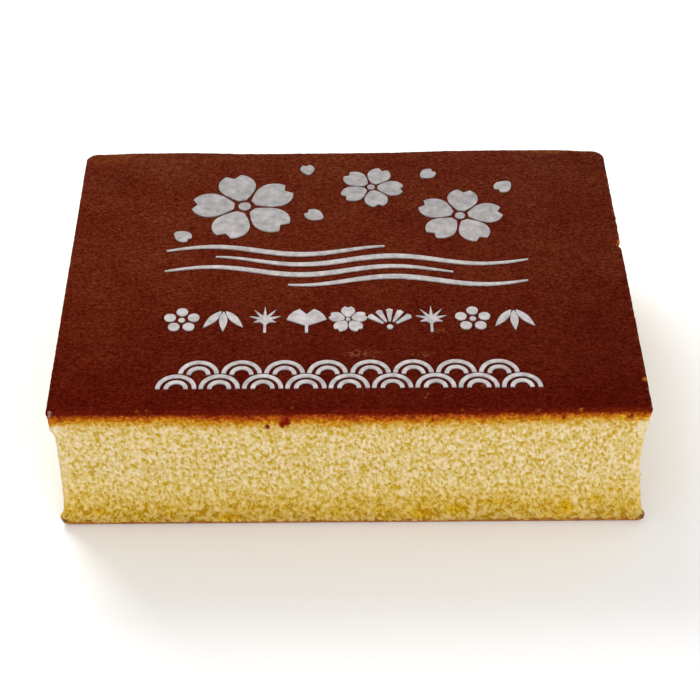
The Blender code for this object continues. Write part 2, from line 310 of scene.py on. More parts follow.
WAVE_BASE = -58.5
WAVE_RADIUS = 6.5
WAVE_INNER_RADIUS = 3.8
WAVE_STROKE = 1.4
WAVE_GAP = 0.6

# The camera, from the middle of the crust's top
CAMERA_PLACE = Vector((-0.0055, -0.4759, 0.3899))
CAMERA_PITCH = math.radians(41.84)
CAMERA_TURN = math.radians(0.78)
CAMERA_ROLL = math.radians(-0.17)
CAMERA_LENS_PIXELS = 1808
PICTURE_PIXELS = 700
SENSOR_MM = 36.0


def seen(red, green, blue):
    """A colour given as it is seen on a screen, 0 to 255, as the linear colour that a shader takes."""
    parts = []
    for value in (red, green, blue):
        share = value / 255
        parts.append(share / 12.92 if share <= 0.04045 else ((share + 0.055) / 1.055) ** 2.4)
    return (*parts, 1.0)


# Shader building

def new_finish(name, **sockets):
    """A material, its tree and its shader, with the shader's constant sockets set."""
    finish = bpy.data.materials.new(name)
    finish.use_nodes = True
    tree = finish.node_tree
    shader = tree.nodes["Principled BSDF"]
    for socket, value in sockets.items():
        shader.inputs[socket.replace("_", " ")].default_value = value
    return finish, tree, shader


def put(tree, kind, settings=None, **sockets):
    """A shader node with its settings, and each named socket set or linked."""
    made = tree.nodes.new("ShaderNode" + kind)
    for key, value in (settings or {}).items():
        setattr(made, key, value)
    for socket, value in sockets.items():
        target = made.inputs[socket.replace("_", " ")]
        if isinstance(value, bpy.types.NodeSocket):
            tree.links.new(value, target)
        else:
            target.default_value = value
    return made


def calculate(tree, operation, first, second):
    """A Math node on two numbers or sockets."""
    made = tree.nodes.new("ShaderNodeMath")
    made.operation = operation
    for target, value in zip(made.inputs, (first, second)):
        if isinstance(value, bpy.types.NodeSocket):
            tree.links.new(value, target)
        else:
            target.default_value = value
    return made.outputs[0]


def blend_colours(tree, kind, share, under, over):
    """A Mix node on two colours. The share may be a number or a socket."""
    made = tree.nodes.new("ShaderNodeMix")
    made.data_type = "RGBA"
    made.blend_type = kind
    for index, value in ((0, share), (6, under), (7, over)):
        if isinstance(value, bpy.types.NodeSocket):
            tree.links.new(value, made.inputs[index])
        else:
            made.inputs[index].default_value = value
    return made.outputs[2]


def ramp(tree, share, stops):
    """A colour ramp, from (place, colour) stops."""
    made = tree.nodes.new("ShaderNodeValToRGB")
    tree.links.new(share, made.inputs[0])
    elements = made.color_ramp.elements
    while len(elements) < len(stops):
        elements.new(0.5)
    for element, (place, colour) in zip(elements, stops):
        element.position = place
        element.color = colour
    return made.outputs[0]


def grey(value):
    """One grey as a linear colour."""
    return (value, value, value, 1.0)


def span(tree, value, low, high):
    """A value brought from low..high to 0..1, and held there."""
    return put(tree, "MapRange", {"clamp": True}, Value=value, From_Min=low, From_Max=high).outputs[0]


def speckle(tree, place, fineness, detail=2.0, roughness=0.5):
    """Noise of so many bumps to the metre, from 0 to 1."""
    made = put(tree, "TexNoise", None, Vector=place, Scale=fineness, Detail=detail, Roughness=roughness)
    return made.outputs[0]


def stretched(tree, place, scale):
    """The place with each axis scaled, so that a pattern runs longer one way."""
    return put(tree, "Mapping", None, Vector=place, Scale=scale).outputs[0]


def where(tree):
    """The place on the piece."""
    return put(tree, "TexCoord").outputs["Object"]


def along_axes(tree, place):
    """The place's three coordinates, by their axes."""
    return put(tree, "SeparateXYZ", None, Vector=place).outputs


def noted(tree, name):
    """What the mesh notes on each of its places under a name."""
    return put(tree, "Attribute", {"attribute_name": name}).outputs["Fac"]


def centred(tree, value, reach):
    """A 0 to 1 value turned into a length that goes both ways, over this reach in all."""
    return calculate(tree, "MULTIPLY", calculate(tree, "SUBTRACT", value, 0.5), reach)


# The baked edge, from the top down: dark brown, then orange and gold, then the pale sponge
BAKED_DEPTH = 0.0095
BAKED_STOPS = (
    (0.00, seen(100, 22, 10)),
    (0.07, seen(110, 26, 9)),
    (0.13, seen(119, 32, 9)),
    (0.22, seen(142, 54, 14)),
    (0.32, seen(158, 75, 14)),
    (0.41, seen(172, 98, 16)),
    (0.51, seen(183, 122, 21)),
    (0.61, seen(190, 144, 46)),
    (0.75, seen(197, 164, 92)),
    (1.00, seen(206, 182, 124)),
)
# How far two noises shift the baked layer's border, a fine one and a slow one
BORDER_GRAIN = 0.0120
BORDER_DRIFT = 0.0024
# The top turns redder over this strip behind its front edge, whose back border strays
RED_STRIP = 0.0016
RED_STRIP_STRAY = 0.003
# The crust's colour gives way to the baked edge's between these depths under the top
SKIN_DEPTHS = (0.0005, 0.0012)
# The sponge from the base up, where honey has soaked in, and how far a noise shifts it
SOAKED_HEIGHT = 0.030
SOAKED_DRIFT = 0.015
SOAKED_STOPS = (
    (0.00, seen(182, 148, 78)),
    (0.14, seen(191, 160, 80)),
    (0.22, seen(198, 167, 85)),
    (0.36, seen(202, 172, 95)),
    (0.55, seen(206, 180, 112)),
    (0.75, seen(211, 186, 123)),
    (1.00, seen(212, 187, 127)),
)
# Patches where honey has sunk, none over the first height and all of them under the second, and how
# strongly they colour the sponge
HONEY_HEIGHTS = (0.0150, 0.0070)
HONEY_SHARE = 0.50
# How far the baked layer's border lies above its usual depth, along X: highest near the right end
BORDER_REACH = 0.0034
BORDER_STOPS = (
    (0.00, 0.52),
    (0.04, 0.74),
    (0.20, 0.78),
    (0.26, 0.54),
    (0.42, 0.50),
    (0.58, 0.40),
    (0.68, 0.56),
    (0.80, 0.68),
    (0.88, 0.92),
    (1.00, 0.82),
)
# How the crumb's colour changes from its raised places to its pores: more golden in the pores, and darker
# there as painted shade
CRUMB_COLOUR_AND_SHADE = (
    (0.00, (1.20, 1.26, 1.90, 1.0)),
    (0.22, (1.10, 1.13, 1.42, 1.0)),
    (0.46, (1.02, 1.02, 1.02, 1.0)),
    (0.66, (0.93, 0.89, 0.55, 1.0)),
    (0.84, (0.85, 0.77, 0.24, 1.0)),
    (1.00, (0.75, 0.58, 0.06, 1.0)),
)
# What a fine noise, and near the base a coarse one, add to the crumb's place in those shades
CRUMB_GRAIN = 2.4
CLUMP_GRAIN = 2.2
# The colours of the marked places, on the sponge and on the crust
SPONGE_TINTS = {
    "toasted": seen(114, 76, 38),
    "pale": seen(222, 206, 172),
    "scorched": seen(116, 16, 3),
}
HONEY = seen(193, 155, 36)
GOLD = seen(196, 116, 42)
POWDER = seen(156, 98, 66)
# The painted highlight on the crust's front-left corner
PAINTED_HIGHLIGHT_COLOUR = seen(196, 152, 140)
# The skin's colours over its wrinkles and over its broad patches
SKIN_STOPS = (
    (0.36, seen(68, 16, 6)),
    (0.50, seen(88, 29, 13)),
    (0.64, seen(110, 48, 28)),
)
PATCH_STOPS = (
    (0.34, (0.88, 0.72, 0.75, 1.0)),
    (0.50, grey(1.0)),
    (0.66, (1.08, 1.24, 1.22, 1.0)),
)
PATCH_SHARE = 0.8
# How the skin's tone changes from the front to the back, its lighter, greyer back partly a painted sheen,
# and from left to right
BACKWARD_TONE_AND_SHEEN = (
    (0.0, (0.86, 0.46, 0.53, 1.0)),
    (0.5, (1.13, 1.17, 1.22, 1.0)),
    (0.88, (1.10, 1.28, 1.45, 1.0)),
    (1.0, (1.20, 1.70, 2.0, 1.0)),
)
ACROSS_STOPS = (
    (0.0, (1.06, 1.09, 1.03, 1.0)),
    (0.5, (1.04, 1.04, 1.02, 1.0)),
    (1.0, (0.94, 0.94, 1.0, 1.0)),
)
# Painted shade that darkens the skin in its folds
CREASE_PAINTED_SHADE = (0.60, 0.45, 0.50, 1.0)
# How the red strip's tone changes from left to right
RED_STRIP_STOPS = (
    (0.78, (1.5, 1.45, 1.2, 1.0)),
    (0.94, (2.0, 2.5, 1.3, 1.0)),
)
SUGAR_STOPS = (
    (0.32, seen(152, 148, 146)),
    (0.50, seen(174, 169, 168)),
    (0.68, seen(195, 189, 188)),
)
# Patches where the sugar lies thin. They start at the first place along Y and are full at the second
THIN_STOPS = (
    (0.34, (0.86, 0.85, 0.84, 1.0)),
    (0.66, grey(1.0)),
)
THIN_BEHIND = (0.005, 0.018)
# How the sugar greys from the first place along Y to the second
GREYING = (-0.060, 0.040)
GREYING_STOPS = (
    (0.0, grey(1.07)),
    (0.64, grey(1.0)),
    (0.77, grey(0.93)),
    (0.91, (0.82, 0.83, 0.84, 1.0)),
    (1.0, (0.80, 0.81, 0.82, 1.0)),
)
BASE_STOPS = (
    (0.30, seen(128, 74, 24)),
    (0.50, seen(158, 100, 34)),
    (0.75, seen(186, 132, 52)),
)


def depth_under_top(tree, axes):
    """How far a place lies under the crust's top."""
    return calculate(tree, "SUBTRACT", HEIGHT, axes["Z"])


def from_left(tree, axes):
    """How far across the slab a place lies, from 0 at the left edge to 1 at the right one."""
    return span(tree, axes["X"], -WIDTH / 2, WIDTH / 2)


def baked_colour(tree, place, axes):
    """The colour that the oven's heat gives at a depth under the top, with a ragged border."""
    lifted = ramp(tree, from_left(tree, axes), [(at, grey(share)) for at, share in BORDER_STOPS])
    border = centred(tree, lifted, BORDER_REACH)
    grain = speckle(tree, place, fineness=800, detail=4.0, roughness=0.75)
    drift = speckle(tree, place, fineness=130, detail=2.0)
    ragged = depth_under_top(tree, axes)
    for shift in (centred(tree, grain, BORDER_GRAIN), centred(tree, drift, BORDER_DRIFT), border):
        ragged = calculate(tree, "ADD", ragged, shift)
    return ramp(tree, span(tree, ragged, 0.0, BAKED_DEPTH), BAKED_STOPS)


def honey_share(tree, place, low_down):
    """How strongly honey colours a place: the patches near the base and those that the mesh notes."""
    patches = span(tree, speckle(tree, place, fineness=140, detail=4.0, roughness=0.62), 0.50, 0.60)
    patches = calculate(tree, "MULTIPLY", calculate(tree, "MULTIPLY", patches, low_down), HONEY_SHARE)
    return calculate(tree, "MAXIMUM", patches, noted(tree, "honeyed"))


def sponge_finish():
    """Pale crumb with golden pores deepened by painted shade, browner under the crust, more golden near the
    base.
    """
    finish, tree, shader = new_finish(
        "sponge", Roughness=0.9, Subsurface_Weight=0.15, Subsurface_Scale=0.0012, Specular_IOR_Level=0.03
    )
    shader.inputs["Subsurface Radius"].default_value = (1.0, 0.62, 0.28)
    place = where(tree)
    axes = along_axes(tree, place)
    drift = centred(tree, speckle(tree, place, fineness=130, detail=4.0, roughness=0.6), SOAKED_DRIFT)
    height = calculate(tree, "ADD", axes["Z"], drift)
    soaked = ramp(tree, span(tree, height, 0.0, SOAKED_HEIGHT), SOAKED_STOPS)
    colour = blend_colours(tree, "DARKEN", 1.0, baked_colour(tree, place, axes), soaked)
    low_down = span(tree, axes["Z"], *HONEY_HEIGHTS)
    colour = blend_colours(tree, "MIX", honey_share(tree, place, low_down), colour, HONEY)
    upright = stretched(tree, place, (1.0, 1.0, 0.6))
    fine = speckle(tree, upright, fineness=850, detail=4.0, roughness=0.62)
    coarse = speckle(tree, place, fineness=400, detail=4.0, roughness=0.7)
    clumps = calculate(tree, "MULTIPLY", centred(tree, coarse, CLUMP_GRAIN), low_down)
    opened = calculate(tree, "ADD", noted(tree, "pore"), centred(tree, fine, CRUMB_GRAIN))
    opened = calculate(tree, "ADD", opened, clumps)
    # The pores, bubbles and gaps turn more golden and, as painted shade, darker
    colour = blend_colours(tree, "MULTIPLY", 1.0, colour, ramp(tree, opened, CRUMB_COLOUR_AND_SHADE))
    for kind, tint in SPONGE_TINTS.items():
        colour = blend_colours(tree, "MIX", noted(tree, kind), colour, tint)
    tree.links.new(colour, shader.inputs["Base Color"])
    bump = put(tree, "Bump", None, Strength=0.6, Distance=0.0004, Height=fine)
    tree.links.new(bump.outputs[0], shader.inputs["Normal"])
    return finish


def crust_finish():
    """Baked skin: red-brown like suede, duller and lighter to the back partly as painted sheen, with its
    few marks.
    """
    finish, tree, shader = new_finish("crust", Roughness=0.65, Specular_IOR_Level=0.0)
    place = where(tree)
    axes = along_axes(tree, place)
    across = from_left(tree, axes)
    backward = span(tree, axes["Y"], -DEPTH / 2, DEPTH / 2)
    ridges = stretched(tree, place, (1000.0, 1250.0, 1250.0))
    wrinkle = speckle(tree, ridges, fineness=1.0, detail=5.0, roughness=0.75)
    blotch = speckle(tree, place, fineness=55, detail=4.0, roughness=0.6)
    crossways = stretched(tree, place, (300.0, 800.0, 800.0))
    folds = speckle(tree, crossways, fineness=1.0, detail=3.0, roughness=0.6)
    skin = ramp(tree, wrinkle, SKIN_STOPS)
    skin = blend_colours(tree, "MULTIPLY", PATCH_SHARE, skin, ramp(tree, blotch, PATCH_STOPS))
    # The lighter, greyer tone towards the back is partly a painted sheen
    skin = blend_colours(tree, "MULTIPLY", 1.0, skin, ramp(tree, backward, BACKWARD_TONE_AND_SHEEN))
    skin = blend_colours(tree, "MULTIPLY", 1.0, skin, ramp(tree, across, ACROSS_STOPS))
    # Painted shade in the skin's folds, where the fold noise runs high
    skin = blend_colours(tree, "MULTIPLY", span(tree, folds, 0.60, 0.68), skin, CREASE_PAINTED_SHADE)
    strayed = calculate(tree, "ADD", axes["Y"], centred(tree, wrinkle, RED_STRIP_STRAY))
    reddened = span(tree, strayed, RED_STRIP - DEPTH / 2, -DEPTH / 2)
    skin = blend_colours(tree, "MULTIPLY", reddened, skin, ramp(tree, across, RED_STRIP_STOPS))
    skin = blend_colours(tree, "MIX", noted(tree, "golden"), skin, GOLD)
    fleck = span(tree, speckle(tree, place, fineness=1250, detail=3.0), 0.52, 0.62)
    dusted = calculate(tree, "MULTIPLY", noted(tree, "powdered"), fleck)
    skin = blend_colours(tree, "MIX", dusted, skin, POWDER)
    in_the_edge = span(tree, depth_under_top(tree, axes), *SKIN_DEPTHS)
    skin = blend_colours(tree, "MIX", in_the_edge, skin, baked_colour(tree, place, axes))
    # A painted highlight where the crust's front-left corner catches the light
    colour = blend_colours(tree, "MIX", noted(tree, "painted_highlight"), skin, PAINTED_HIGHLIGHT_COLOUR)
    tree.links.new(colour, shader.inputs["Base Color"])
    folded = put(tree, "Bump", {"invert": True}, Strength=0.7, Distance=0.0012, Height=folds)
    bump = put(tree, "Bump", None, Strength=1.0, Distance=0.0008, Height=wrinkle, Normal=folded.outputs[0])
    tree.links.new(bump.outputs[0], shader.inputs["Normal"])
    return finish


def sugar_finish():
    """Sifted powdered sugar, slightly mottled where the crust shows through it."""
    finish, tree, shader = new_finish("sugar", Roughness=0.95, Specular_IOR_Level=0.05)
    place = where(tree)
    backward = along_axes(tree, place)["Y"]
    mottle = speckle(tree, place, fineness=330, detail=5.0, roughness=0.65)
    colour = ramp(tree, mottle, SUGAR_STOPS)
    patchy = speckle(tree, place, fineness=120, detail=4.0, roughness=0.6)
    thin_here = span(tree, backward, *THIN_BEHIND)
    colour = blend_colours(tree, "MULTIPLY", thin_here, colour, ramp(tree, patchy, THIN_STOPS))
    greyed = ramp(tree, span(tree, backward, *GREYING), GREYING_STOPS)
    colour = blend_colours(tree, "MULTIPLY", 1.0, colour, greyed)
    tree.links.new(colour, shader.inputs["Base Color"])
    grains = speckle(tree, place, fineness=1800, detail=3.0)
    bump = put(tree, "Bump", None, Strength=0.25, Distance=0.0002, Height=grains)
    tree.links.new(bump.outputs[0], shader.inputs["Normal"])
    return finish


def base_crust_finish():
    """The thin brown skin of the underside."""
    finish, tree, shader = new_finish("base_crust", Roughness=0.8, Specular_IOR_Level=0.2)
    place = where(tree)
    blotch = speckle(tree, place, fineness=260, detail=4.0, roughness=0.6)
    tree.links.new(ramp(tree, blotch, BASE_STOPS), shader.inputs["Base Color"])
    grains = speckle(tree, place, fineness=900, detail=3.0)
    bump = put(tree, "Bump", None, Strength=0.4, Distance=0.0003, Height=grains)
    tree.links.new(bump.outputs[0], shader.inputs["Normal"])
    return finish


# The slab's shape

def recess_at(height, column):
    """How far the sides in one column of the profile stand in at a height."""
    return float(np.interp(height, PROFILE_COLUMNS[0], PROFILE_COLUMNS[column]))


def side_recess(place):
    """How far the left or right side stands in at a place. The foot's lip is longest in front."""
    column = RIGHT if place.x > 0 else LEFT
    here = recess_at(place.z, column)
    if place.z >= LIP_TOP:
        return here
    over_lip = recess_at(LIP_TOP, column)
    share = float(np.interp(place.y + DEPTH / 2, LIP_FALL, (1.0, LIP_SHARE)))
    return over_lip + (here - over_lip) * share


def back_stray(place):
    """How far a place is moved along Y by the uneven back edge. The front stays straight."""
    xs, strays = zip(*BACK_EDGE)
    return float(np.interp(place.x, xs, strays)) * max(0.0, place.y / (DEPTH / 2))


def outward_at(place):
    """The direction out of the nearest side, turning smoothly round the corners."""
    squareness = 31
    x = (2 * place.x / WIDTH) ** squareness
    y = (2 * place.y / DEPTH) ** squareness
    return Vector((x, y, 0.0)).normalized()


def step_between(value, low, high):
    """A smooth step from 0 at low to 1 at high."""
    t = min(1.0, max(0.0, (value - low) / (high - low)))
    return t * t * (3 - 2 * t)


def fixed_draw(centre):
    """The same random number each run for one bubble, from its centre."""
    return (math.sin(centre.x * 12.9898 + centre.y * 78.233 + centre.z * 37.719) * 43758.5453) % 1.0


def bubble_at(place_mm):
    """How far inside one of the larger bubbles a place is, 0 to 1."""
    nudged = place_mm + BUBBLE_STRAY * noise.noise_vector(place_mm / BUBBLE_WAVE)
    distances, centres = noise.voronoi(nudged / BUBBLE_SPACING)
    draw = fixed_draw(centres[0])
    share = BUBBLE_SHARE * (1.0 + EXTRA_BUBBLES * step_between(place_mm.z, *EXTRA_BUBBLES_HEIGHTS))
    if draw > share:
        return 0.0
    radius = BUBBLE_RADIUS * (SMALLEST_BUBBLE + (1 - SMALLEST_BUBBLE) * draw / share)
    return step_between(distances[0] * BUBBLE_SPACING, radius, 0.5 * radius)


def grain_at(place_mm):
    """The grain of the torn crumb, about -1 to 1, with its low places the pores."""
    squeezed = Vector((place_mm.x, place_mm.y, place_mm.z / PORE_STRETCH))
    grain = 0.0
    for length, share in zip(PORE_LENGTHS, PORE_SHARES):
        grain += share * noise.noise(squeezed / length + Vector((length * 50, 0, 0)))
    return grain


def is_upright(edge):
    """Whether an edge runs straight up."""
    run = edge.verts[0].co - edge.verts[1].co
    return run.xy.length < MM / 10 and abs(run.z) > MM / 5


def round_corners(bm):
    """Rounds the upright edges, the two at the back more than the cut ones in front."""
    for at_back, radius, segments in ((True, BACK_CORNER_RADIUS, 9), (False, FRONT_CORNER_RADIUS, 3)):
        edges = [e for e in bm.edges if is_upright(e) and (e.verts[0].co.y > 0) == at_back]
        bmesh.ops.bevel(
            bm, geom=edges, offset=radius, segments=segments, profile=0.5, affect="EDGES", material=-1
        )


def runs_along(edge, axis):
    """Whether a long edge runs along an axis."""
    run = edge.verts[0].co - edge.verts[1].co
    return abs(run[axis]) > 0.9 * run.length and run.length > 10 * MM


def slab_band(low, high, level_gap, front_gap, other_gap):
    """A closed block of the slab between two heights, whose sides are sliced into small faces."""
    bm = bmesh.new()
    bmesh.ops.create_cube(bm, size=1.0)
    bmesh.ops.scale(bm, vec=(WIDTH, DEPTH, high - low), verts=bm.verts)
    bmesh.ops.translate(bm, vec=(0, 0, (low + high) / 2), verts=bm.verts)
    round_corners(bm)
    ends = [f for f in bm.faces if abs(f.normal.z) > 0.5]
    bmesh.ops.delete(bm, geom=ends, context="FACES_ONLY")
    uprights = [e for e in bm.edges if is_upright(e)]
    bmesh.ops.subdivide_edges(bm, edges=uprights, cuts=max(1, round((high - low) / level_gap) - 1))
    front = [e for e in bm.edges if runs_along(e, 0) and e.verts[0].co.y < 0]
    back = [e for e in bm.edges if runs_along(e, 0) and e.verts[0].co.y > 0]
    sides = [e for e in bm.edges if runs_along(e, 1)]
    runs = ((front, WIDTH, front_gap), (back, WIDTH, other_gap), (sides, DEPTH, other_gap))
    for edges, length, gap in runs:
        bmesh.ops.subdivide_edges(bm, edges=edges, cuts=round(length / gap) - 1)
    open_edges = [e for e in bm.edges if e.is_boundary]
    bmesh.ops.holes_fill(bm, edges=open_edges, sides=0)
    bmesh.ops.recalc_face_normals(bm, faces=bm.faces)
    return bm


def finished(name, bm, finish):
    """The mesh as a piece of the slab, in its place and within the solid's box, with its finish."""
    bmesh.ops.translate(bm, vec=MIDDLE, verts=bm.verts)
    for v in bm.verts:
        for axis in range(3):
            v.co[axis] = min(max(v.co[axis], CAD_BOX[0][axis]), CAD_BOX[1][axis])
    mesh = bpy.data.meshes.new(name)
    bm.to_mesh(mesh)
    bm.free()
    mesh.shade_smooth()
    mesh.materials.append(finish)
    piece = bpy.data.objects.new(name, mesh)
    bpy.context.scene.collection.objects.link(piece)
    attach(piece, "root")
    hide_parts("castella")
    return piece


def drawn_to_profile(bm, roughness):
    """Draws a band in to the slab's side profile, each place then moved out by what roughness gives."""
    for v in bm.verts:
        place = v.co.copy()
        out = outward_at(place) * roughness(v, place)
        narrowed = 1 - side_recess(place) / (WIDTH / 2)
        shallowed = 1 - recess_at(place.z, FRONT_AND_BACK) / (DEPTH / 2)
        v.co.x = place.x * narrowed + out.x
        v.co.y = place.y * shallowed + out.y + back_stray(place)


def torn_crumb_rise(place_mm):
    """How far the torn crumbs at the front's upright edges stand out at a place."""
    rise = 0.0
    for side, height, most, size in TORN_CRUMBS:
        off = Vector((place_mm.x - side * WIDTH / 2 / MM, place_mm.y + DEPTH / 2 / MM, place_mm.z - height))
        rise += most * math.exp(-((off.length / size) ** 2))
    return rise


def front_marks_at(place_mm):
    """The marks of the front cut face that reach a place, as pairs of a kind and its share."""
    if place_mm.y > MARKS_BEHIND - DEPTH / 2 / MM:
        return
    for kind, strength, x, height, x_reach, z_reach in FRONT_MARKS:
        away = math.hypot((place_mm.x - x) / x_reach, (place_mm.z - height) / z_reach)
        if away < FRONT_MARK_LIMIT:
            ragged = away + MARK_STRAY * noise.noise(place_mm / FRONT_MARK_WAVE)
            yield kind, strength * step_between(ragged, *FRONT_MARK_EDGES)


def sponge_body():
    """The sponge, with the open pores of its cut sides and a note of each place's tones."""
    bm = slab_band(SPONGE_LOW, SPONGE_HIGH, LEVEL_GAP, FRONT_GAP, OTHER_GAP)
    pore = bm.verts.layers.float.new("pore")
    tints = {kind: bm.verts.layers.float.new(kind) for kind in (*SPONGE_TINTS, "honeyed")}

    def crumb(v, place):
        """How far out a place moves. Its tones, with painted shade in pores, bubbles and gaps, are noted on
        the way.
        """
        place_mm = place / MM
        to_edge = math.hypot(WIDTH / 2 / MM - abs(place_mm.x), DEPTH / 2 / MM + place_mm.y)
        rubbed = 1.0 - RUBBED_SHARE * step_between(to_edge, *RUBBED_WIDTHS)
        grain = grain_at(place_mm)
        low = step_between(grain, *PORE_EDGES)
        bubble = bubble_at(place_mm)
        gap = step_between(noise.noise(place_mm / CLUMP_LENGTH), *GAP_EDGES)
        gap *= step_between(place_mm.z, *GAP_HEIGHTS)
        tone = LEVEL_TONE + GRAIN_TONE * grain + BUBBLE_TONE_AND_SHADE * bubble + GAP_TONE_AND_SHADE * gap
        v[pore] = RUBBED_TONE + rubbed * tone
        at_end = step_between(to_edge, TOASTED_REACH, 0.5 * TOASTED_REACH)
        over = place_mm.z + TOASTED_RAGGEDNESS * grain - TOASTED_HEIGHT
        v[tints["toasted"]] = at_end * step_between(over, TOASTED_FADE, -TOASTED_FADE)
        depth = PORE_DEPTH * low + BUBBLE_DEPTH * bubble + GAP_DEPTH * gap - GRAIN_RISE * grain
        for kind, share in front_marks_at(place_mm):
            v[tints[kind]] = max(v[tints[kind]], share)
            if kind == "scorched":
                depth += SCORCHED_DEPTH * share
        if place_mm.x > NICK_X - NICK_DEPTH:
            bitten = math.exp(-(((place_mm.y - NICK_Y) / NICK_SIZE) ** 2))
            depth += NICK_DEPTH * bitten * step_between(place_mm.z, *NICK_FLOOR)
        teeth = noise.noise(place_mm / TEETH_LENGTH) * step_between(to_edge, *TEETH_WIDTHS)
        wander = WANDER * noise.noise(place_mm / WANDER_LENGTH) + TEETH_RISE * teeth
        return MM * (wander + torn_crumb_rise(place_mm) - rubbed * depth)

    drawn_to_profile(bm, crumb)
    return finished("castella_sponge", bm, sponge_finish())


def base_crust():
    """The thin brown skin under the sponge."""
    bm = slab_band(0.0, BASE_CRUST_TOP, BASE_CRUST_TOP / 4, OTHER_GAP, OTHER_GAP)

    def uneven(v, place):
        """How far out a place moves, nothing at the very base."""
        return BASE_RISE * MM * noise.noise(place / MM / BASE_WAVE) * min(1.0, place.z / MM)

    drawn_to_profile(bm, uneven)
    return finished("base_crust", bm, base_crust_finish())


def rounded_in(x, y):
    """A place on the square-cornered sheet, moved to the slab's rounded outline."""
    radius = BACK_CORNER_RADIUS if y > 0 else FRONT_CORNER_RADIUS
    u = abs(x) - (WIDTH / 2 - radius)
    v = abs(y) - (DEPTH / 2 - radius)
    if u <= 0 or v <= 0:
        return x, y
    shrink = max(u, v) / math.hypot(u, v)
    return (
        math.copysign(WIDTH / 2 - radius + u * shrink, x),
        math.copysign(DEPTH / 2 - radius + v * shrink, y),
    )


# The rim of the crust's skin: how far under the top, and how far in from its edge
CRUST_RIM = (
    (0.00008, 0.00055),
    (0.00030, 0.00028),
    (0.00065, 0.00018),
    (0.00105, 0.00014),
    (0.00150, 0.00018),
    (0.00190, 0.00034),
    (0.00200, 0.00150),
)
CRUST_RIM_START = 0.0009


def crust_skin():
    """The top crust: a wrinkled sheet, turned down over the cut edge and closed underneath."""
    bm = bmesh.new()
    columns, rows = round(WIDTH / CRUST_GAP), round(DEPTH / CRUST_GAP)
    bmesh.ops.create_grid(bm, x_segments=columns, y_segments=rows, size=0.5)
    bmesh.ops.scale(bm, vec=(WIDTH, DEPTH, 1.0), verts=bm.verts)
    for v in bm.verts:
        v.co.x, v.co.y = rounded_in(v.co.x, v.co.y)
    inset = CRUST_RIM_START
    bmesh.ops.scale(bm, vec=(1 - 2 * inset / WIDTH, 1 - 2 * inset / DEPTH, 1.0), verts=bm.verts)
    edges = [e for e in bm.edges if e.is_boundary]
    for depth, recess in CRUST_RIM:
        turned = bmesh.ops.extrude_edge_only(bm, edges=edges)["geom"]
        ring = [item for item in turned if isinstance(item, bmesh.types.BMVert)]
        edges = [item for item in turned if isinstance(item, bmesh.types.BMEdge) and item.is_boundary]
        wider, deeper = ((side - 2 * recess) / (side - 2 * inset) for side in (WIDTH, DEPTH))
        bmesh.ops.scale(bm, vec=(wider, deeper, 1.0), verts=ring)
        for v in ring:
            v.co.z = -depth
        inset = recess
    bmesh.ops.holes_fill(bm, edges=edges, sides=0)
    bmesh.ops.recalc_face_normals(bm, faces=bm.faces)
    bmesh.ops.translate(bm, vec=(0, 0, HEIGHT), verts=bm.verts)
    mark_crust(bm)
    lay_wrinkles(bm)
    return finished("castella_crust", bm, crust_finish())


def mark_crust(bm):
    """Notes on each place of the skin how golden or powdered it is, and where a highlight is painted on it.
    """
    layers = {kind: bm.verts.layers.float.new(kind) for kind in ("golden", "powdered", "painted_highlight")}
    for v in bm.verts:
        place = v.co / MM
        for kind, strength, x, y, x_reach, y_reach in CRUST_MARKS:
            away = math.hypot((place.x - x) / x_reach, (place.y - y) / y_reach)
            if away < CRUST_MARK_LIMIT:
                ragged = away + MARK_STRAY * noise.noise(place / CRUST_MARK_WAVE)
                share = strength * step_between(ragged, *CRUST_MARK_EDGES)
                v[layers[kind]] = max(v[layers[kind]], share)
        if place.x > WIDTH / 2 / MM - RIM_FLECKS_WIDTH:
            fleck = step_between(noise.noise(place / RIM_FLECKS_LENGTH), *RIM_FLECKS_EDGES)
            v[layers["golden"]] = max(v[layers["golden"]], RIM_FLECKS * fleck)


def lay_wrinkles(bm):
    """Raises the skin's fine wrinkles and slow swells, and makes its cut edge uneven."""
    for v in bm.verts:
        place = v.co / MM
        nick = math.exp(-(((place.x - NICK_X) ** 2 + (place.y - NICK_Y) ** 2) / NICK_SIZE ** 2))
        v.co.x -= MM * NICK_DEPTH * nick
        depth = HEIGHT / MM - place.z
        fine = Vector((place.x / WRINKLE_LENGTH, place.y / WRINKLE_WIDTH, place.z / WRINKLE_WIDTH))
        wrinkle = noise.fractal(fine, 0.9, 2.0, 3)
        swell = noise.noise(place / SWELL_LENGTH)
        on_top = max(0.0, 1.0 - depth / WRINKLE_FADE)
        v.co.z += MM * on_top * (WRINKLE_RISE * wrinkle + SWELL_RISE * swell - TOP_DROP)
        if depth > EDGE_START:
            strayed = MM * EDGE_STRAY * noise.noise(place / EDGE_WAVE)
            out = outward_at(v.co)
            v.co.x += strayed * out.x
            v.co.y += strayed * out.y
            along = Vector((place.x, place.y, EDGE_SLICE)) / EDGE_DROP_WAVE
            v.co.z += MM * EDGE_DROP * min(1.0, depth / EDGE_DROP_DEPTH) * noise.noise(along)
        v.co.y += back_stray(place * MM)


# The sugar design

def placed(outline, x, y, turn=0.0):
    """The outline turned about its root and moved to (x, y)."""
    c, s = math.cos(turn), math.sin(turn)
    return [(x + c * px - s * py, y + s * px + c * py) for px, py in outline]


def around(reach, turn):
    """The point at a distance and an angle from the origin."""
    return reach * math.cos(turn), reach * math.sin(turn)


def disc(radius, sides):
    """A round dot."""
    return [around(radius, 2 * math.pi * i / sides) for i in range(sides)]


def mirrored(right_side):
    """The left side of an outline, from the tip back to the root."""
    return [(-x, y) for x, y in reversed(right_side)]


